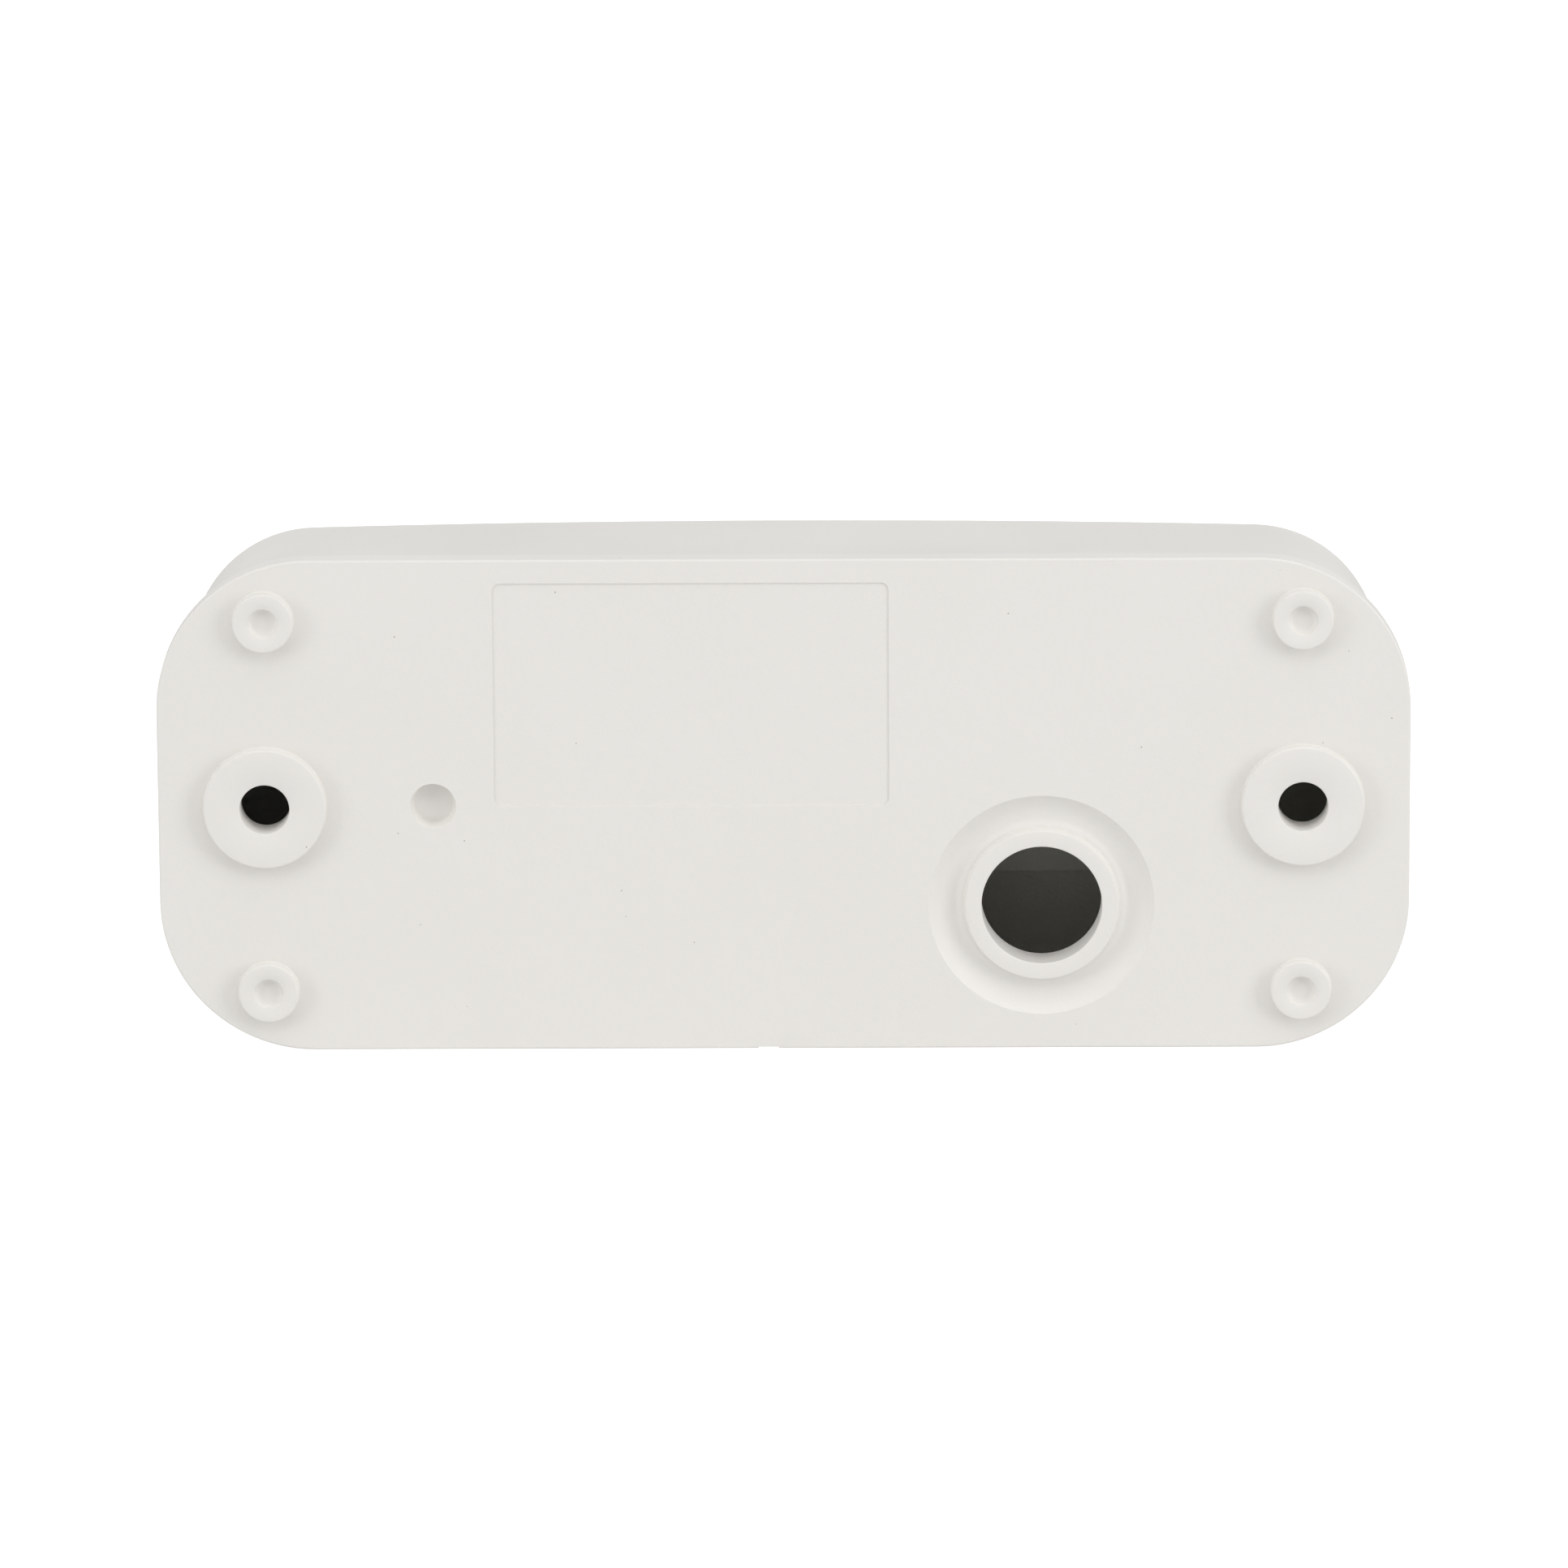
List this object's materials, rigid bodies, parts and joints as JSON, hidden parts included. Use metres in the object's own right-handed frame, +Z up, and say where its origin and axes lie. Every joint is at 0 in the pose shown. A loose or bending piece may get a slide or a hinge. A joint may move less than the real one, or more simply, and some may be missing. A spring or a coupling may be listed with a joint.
{
  "type": "surface-mounted bell push",
  "caption": "Oblong wall-mounted bell push with a flat back plate, crowned clipped cover, sprung round button, name window and rear cable entry.",
  "frame": {"origin": "on the wall plane, midway between the two wall-screw holes", "axes": "+X along the long side, +Z up, +Y into the wall, so the front faces -Y"},
  "size_m": [0.083, 0.0185, 0.0336],
  "materials": {
    "white_plastic": "fine satin moulded surface",
    "button_plastic": "smooth moulded surface",
    "grey_print": "moulded inlay",
    "seal_rubber": "soft matt rubber",
    "membrane_rubber": "soft matt rubber",
    "inner_plastic": "moulded surface",
    "carrier_plastic": "moulded thermoset",
    "contact_brass": "stamped strip",
    "tip_silver": "silver contact face",
    "zinc_steel": "zinc plated",
    "spring_steel": "drawn wire",
    "clear_lens": "clear polished plastic",
    "card_paper": "blank card"
  },
  "bodies": {
    "housing": {"base_plate": "white_plastic", "front_cover": "white_plastic", "cover_gasket": "seal_rubber", "button_membrane": "membrane_rubber", "membrane_ring": "inner_plastic", "return_spring": "spring_steel", "contact_carrier": "carrier_plastic", "carrier_screws": "zinc_steel", "fixed_contact_upper": "contact_brass", "fixed_contact_lower": "contact_brass", "fixed_tips": "tip_silver", "clamp_plates": "zinc_steel", "terminal_screw_upper": "zinc_steel", "terminal_screw_lower": "zinc_steel", "window_lens": "clear_lens", "window_seal": "seal_rubber", "name_card": "card_paper"},
    "button": {"push_button": "button_plastic", "bell_symbol": "grey_print", "plunger": "inner_plastic", "contact_bridge": "contact_brass", "bridge_tips": "tip_silver", "bridge_washer": "zinc_steel"}
  },
  "joints": [
    {"name": "button_press", "type": "slide", "parent": "housing", "child": "button", "axis": [0, 1, 0], "range_m": [0, 0.002], "stiffness_N_per_m": 800, "springref_m": -0.003, "deforming": ["return_spring", "button_membrane"]}
  ]
}
